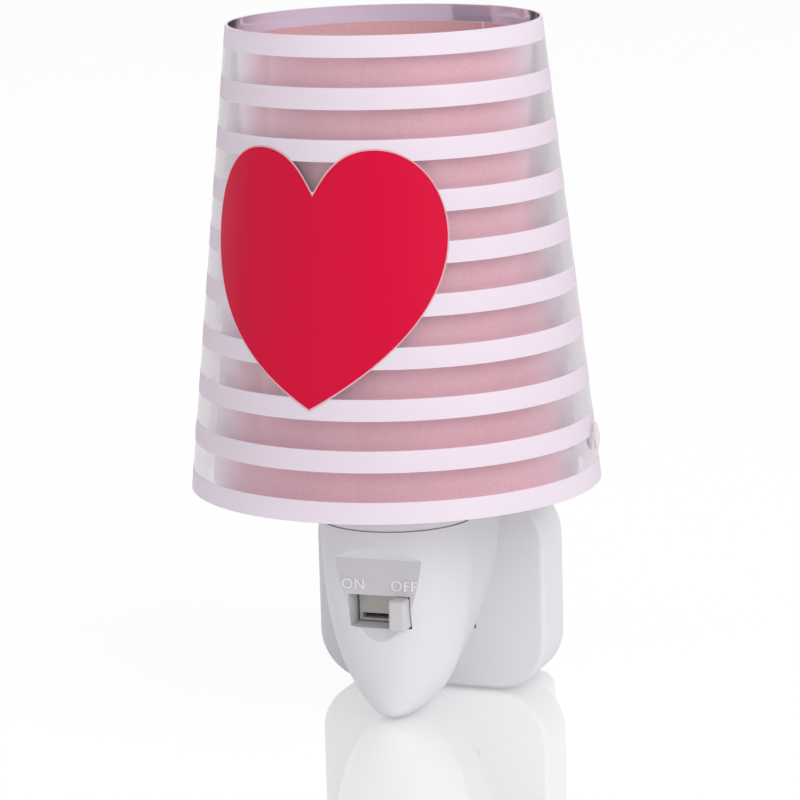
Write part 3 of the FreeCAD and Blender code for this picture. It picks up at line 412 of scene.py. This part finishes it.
def outwards(bm):
    """Point an open sheet's faces away from the shade axis."""
    bm.faces.ensure_lookup_table()
    bm.normal_update()
    middle = bm.faces[0].calc_center_median() - AXIS
    middle.z = 0
    if bm.faces[0].normal.dot(middle) < 0:
        bmesh.ops.reverse_faces(bm, faces=bm.faces)
    return bm


# The shade
def shade_sheets():
    outer = piece("clear_shade_sheet", wrapped_sheet(outer_radius, 0, SHADE_HEIGHT, 0), CLEAR,
                  "shade")
    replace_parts(thicken(outer, SHEET_WALL, -1), "outer_shade")
    inner = piece("pink_shade_sheet", wrapped_sheet(inner_radius, INNER_LOW, INNER_HIGH, 0), PINK,
                  "shade")
    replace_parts(thicken(inner, SHEET_WALL, -1), "inner_shade")


def printed_bands():
    """White bands; the first and last lie along the rims."""
    pitch = SHADE_HEIGHT / (BAND_COUNT - 1 + BAND_SHARE)
    for index in range(BAND_COUNT):
        low = index * pitch
        high = low + BAND_SHARE * pitch
        band = piece("printed_band_%02d" % (index + 1),
                     wrapped_sheet(outer_radius, low, high, FILM_LIFT, lapped=False), PAPER_WHITE,
                     "shade")
        thicken(band, FILM_THICK, 1)


def heart_curve(grow):
    """Flat filled heart in millimetres, the same on both sides of x = 0, grown by an edge."""
    def mirrored(spot):
        return (-spot[0], spot[1])
    tip = HEART_TIP - HEART_EDGE_AT_TIP * grow
    tip_out = (HEART_TIP_HANDLE[0], tip + HEART_TIP_HANDLE[1])
    side, widest = HEART_SIDE[0] + grow, HEART_SIDE[1]
    below, above = (side, widest - HEART_SIDE_HANDLES[0]), (side, widest + HEART_SIDE_HANDLES[1])
    lobe, top = HEART_LOBE[0], HEART_LOBE[1] + grow
    outer, inner = (lobe + HEART_LOBE_HANDLES[0], top), (lobe - HEART_LOBE_HANDLES[1], top)
    notch = HEART_NOTCH + HEART_EDGE_AT_NOTCH * grow
    notch_in = (HEART_NOTCH_HANDLE[0], notch + HEART_NOTCH_HANDLE[1])
    points = [
        ((0, tip), mirrored(tip_out), tip_out),
        ((side, widest), below, above),
        ((lobe, top), outer, inner),
        ((0, notch), notch_in, mirrored(notch_in)),
        ((-lobe, top), mirrored(inner), mirrored(outer)),
        ((-side, widest), mirrored(above), mirrored(below)),
    ]
    curve = bpy.data.curves.new("heart_outline", "CURVE")
    curve.dimensions = "2D"
    curve.fill_mode = "BOTH"
    curve.resolution_u = HEART_FINENESS
    spline = curve.splines.new("BEZIER")
    spline.bezier_points.add(len(points) - 1)
    spline.use_cyclic_u = True
    for point, (spot, left, right) in zip(spline.bezier_points, points):
        point.handle_left_type = "FREE"
        point.handle_right_type = "FREE"
        point.co = (*spot, 0)
        point.handle_left = (*left, 0)
        point.handle_right = (*right, 0)
    return curve


def curve_mesh(curve):
    """The mesh of a curve or text, as a bmesh."""
    holder = bpy.data.objects.new("holder", curve)
    bpy.context.scene.collection.objects.link(holder)
    bpy.context.view_layer.update()
    mesh = bpy.data.meshes.new_from_object(holder.evaluated_get(bpy.context.evaluated_depsgraph_get()))
    bm = bmesh.new()
    bm.from_mesh(mesh)
    bpy.data.objects.remove(holder)
    bpy.data.meshes.remove(mesh)
    return bm


def sliced(bm, normal, step, low, high):
    """Cut a flat mesh into strips, so that it can bend round the shade."""
    spot = low
    while spot < high:
        bmesh.ops.bisect_plane(bm, geom=bm.verts[:] + bm.edges[:] + bm.faces[:], dist=1e-6,
                               plane_co=spot * normal, plane_no=normal)
        spot += step
    return bm


def heart_film(name, grow, lift, material):
    bm = curve_mesh(heart_curve(grow))
    bmesh.ops.remove_doubles(bm, verts=bm.verts, dist=1e-4)
    sliced(bm, Vector((1, 0, 0)), STRIP_ACROSS, -31, 31)
    sliced(bm, Vector((0, 1, 0)), STRIP_HIGH, 22, 82)
    for vert in bm.verts:
        height = vert.co.y * MM
        radius = outer_radius(height)
        vert.co = on_shade(radius + lift, HEART_TURN + vert.co.x * MM / radius, height)
    bmesh.ops.recalc_face_normals(bm, faces=bm.faces)
    return thicken(piece(name, outwards(bm), material, "shade"), FILM_THICK, 1)


# The switch panel's words
def raised_word(text, across):
    """A word standing on the panel, centred that far across it."""
    words = bpy.data.curves.new(text, "FONT")
    words.body = text
    words.size = WORD_SIZE
    words.align_x = "CENTER"
    words.extrude = WORD_RISE / 2
    words.space_character = 1.05
    bm = curve_mesh(words)
    bmesh.ops.remove_doubles(bm, verts=bm.verts, dist=1e-7)
    turn = Matrix.Rotation(math.radians(90), 4, "X")
    spot = Matrix.Translation((across, PANEL_Y - WORD_RISE / 2, AXIS.z - WORD_DROP))
    bmesh.ops.transform(bm, matrix=spot @ turn, verts=bm.verts)
    return piece("word_" + text.lower(), bm, LETTERS, "base", smooth=False)


# Casings and the rest: smooth shaded copies of CAD nodes
def set_lining_flush(bm):
    """Set the window lining's two lower front corners back onto the shell's face."""
    for vert in bm.verts:
        on_side = abs(abs(vert.co.x - AXIS.x) - LINING_OUT) < 2 * CLOSE
        if not on_side or vert.co.y > PANEL_Y + LINING_DEEP:
            continue
        for edge in vert.link_edges:
            along = edge.other_vert(vert).co - vert.co
            if along.y > 10 * CLOSE and max(abs(along.x), abs(along.z)) < CLOSE:
                vert.co.y += along.y - 5 * CLOSE
                break


def smooth_copy(node, body, slot):
    """A copy of a CAD node with smooth curved faces; the casings get soft edges too. On the front shell,
    the faces in the switch panel's plane get a darker grey finish, which is painted shade.
    """
    bm = bmesh.new()
    bm.from_mesh(frame["nodes"][node].data)
    bmesh.ops.remove_doubles(bm, verts=bm.verts, dist=1e-6)
    shell = node == "front_shell"
    if shell:
        set_lining_flush(bm)
    for edge in bm.edges:
        edge.smooth = edge.is_manifold and edge.calc_face_angle(0) < SMOOTH_TURN
    for face in bm.faces:
        # Faces in the switch panel's plane take the second material, the darker panel grey: painted
        # shade.
        face.material_index = int(shell and all(abs(vert.co.y - PANEL_Y) < CLOSE for vert in face.verts))
    made = piece(node + "_finished", bm, FINISHES[slot], body)
    if shell:
        made.data.materials.append(PANEL_PAINTED_SHADE)
    if node in SOFT_EDGED:
        edges = made.modifiers.new("soft edges", "BEVEL")
        edges.width = EDGE_ROUND
        edges.segments = 2
        edges.limit_method = "ANGLE"
        edges.angle_limit = EDGE_TURN
    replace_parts(made, node)


shade_sheets()
printed_bands()
heart_film("heart_edge_film", HEART_EDGE, FILM_LIFT + 1.2 * FILM_THICK, PALE_PINK)
heart_film("heart_film", 0.0, FILM_LIFT + 2.4 * FILM_THICK, HEART_RED)
raised_word("ON", -WORD_OUT)
raised_word("OFF", WORD_OUT)
SLOT_OF = {subpart["node"]: subpart["material_slot"] for subpart in frame["record"]["subparts"]}
for body_name, members in frame["record"]["behaviour"]["bodies"].items():
    for member in members:
        if member not in ("outer_shade", "inner_shade"):
            smooth_copy(member, body_name, SLOT_OF[member])


# Studio
def camera():
    """The photograph's viewing angle."""
    sine, cosine = math.sin(CAMERA_AZIMUTH), math.cos(CAMERA_AZIMUTH)

    def to_row(vector):
        across, deep, high = vector
        return Vector((across * cosine - deep * sine, across * sine + deep * cosine, high))

    yaw_sine, yaw_cosine = math.sin(CAMERA_YAW), math.cos(CAMERA_YAW)
    pitch_sine, pitch_cosine = math.sin(CAMERA_PITCH), math.cos(CAMERA_PITCH)
    level = Vector((yaw_cosine, -yaw_sine, 0))
    ahead = Vector((pitch_cosine * yaw_sine, pitch_cosine * yaw_cosine, -pitch_sine))
    upright = Vector((pitch_sine * yaw_sine, pitch_sine * yaw_cosine, pitch_cosine))
    right = math.cos(CAMERA_ROLL) * level + math.sin(CAMERA_ROLL) * upright
    up = -math.sin(CAMERA_ROLL) * level + math.cos(CAMERA_ROLL) * upright
    spot = AXIS + to_row((0, -CAMERA_AWAY, CAMERA_HIGH))
    data = bpy.data.cameras.new("camera")
    data.sensor_width = SENSOR
    data.lens = FOCAL_SHARE * SENSOR
    data.clip_start = SEEN_FROM
    data.clip_end = SEEN_TO
    made = bpy.data.objects.new("camera", data)
    bpy.context.scene.collection.objects.link(made)
    turn = Matrix((to_row(right), to_row(up), to_row(-ahead))).transposed()
    made.matrix_world = Matrix.Translation(spot) @ turn.to_4x4()
    bpy.context.scene.camera = made


def studio_floor():
    """Pale glossy floor: white to the eye, a soft shadow and a faint mirror image."""
    finish = Finish("floor")
    sight = finish.add("ShaderNodeLightPath", output="Is Camera Ray")
    matt = finish.surface(base_color=(0.93, 0.93, 0.93, 1), roughness=0.9,
                          specular_ior_level=0.0)
    lit = finish.add("ShaderNodeEmission", {}, {"Color": (1, 1, 1, 1), "Strength": 1.1})
    seen = finish.blended(sight * 0.75, matt, lit)
    gloss = finish.add("ShaderNodeBsdfGlossy", {}, {"Color": (1, 1, 1, 1), "Roughness": 0.02})
    material = finish.done(finish.blended(0.5, seen, gloss))
    bm = bmesh.new()
    bmesh.ops.create_grid(bm, x_segments=1, y_segments=1, size=FLOOR_SIZE)
    bmesh.ops.translate(bm, verts=bm.verts, vec=(0, 0, FLOOR_LEVEL - FLOOR_GAP))
    mesh = bpy.data.meshes.new("floor")
    bm.to_mesh(mesh)
    bm.free()
    mesh.materials.append(material)
    made = bpy.data.objects.new("floor", mesh)
    bpy.context.scene.collection.objects.link(made)


def soft_light(name, spot, size, power):
    """A round soft lamp turned to the shade's foot."""
    data = bpy.data.lights.new(name, "AREA")
    data.shape = "DISK"
    data.size = size
    data.energy = power
    made = bpy.data.objects.new(name, data)
    bpy.context.scene.collection.objects.link(made)
    made.location = spot
    made.rotation_mode = "QUATERNION"
    made.rotation_quaternion = (AXIS - Vector(spot)).to_track_quat("-Z", "Y")


def studio_world():
    """Soft light from all round; white to the eye, in gloss and through clear plastic."""
    world = Nodes(bpy.data.worlds.new("studio"), "ShaderNodeOutputWorld")
    eye, gloss, through = (world.add("ShaderNodeLightPath", output="Is %s Ray" % kind)
                           for kind in ("Camera", "Glossy", "Transmission"))
    seen = eye.larger(gloss.larger(through))
    ambient = world.add("ShaderNodeBackground", {}, {"Color": (1, 1, 1, 1), "Strength": AMBIENT})
    plain = world.add("ShaderNodeBackground", {}, {"Color": (1, 1, 1, 1), "Strength": 1.0})
    bpy.context.scene.world = world.done(world.blended(seen, ambient, plain))


camera()
studio_floor()
studio_world()
soft_light("key", KEY_SPOT, KEY_SIZE, KEY_POWER)
soft_light("fill", FILL_SPOT, FILL_SIZE, FILL_POWER)
bpy.context.scene.view_settings.view_transform = "Standard"
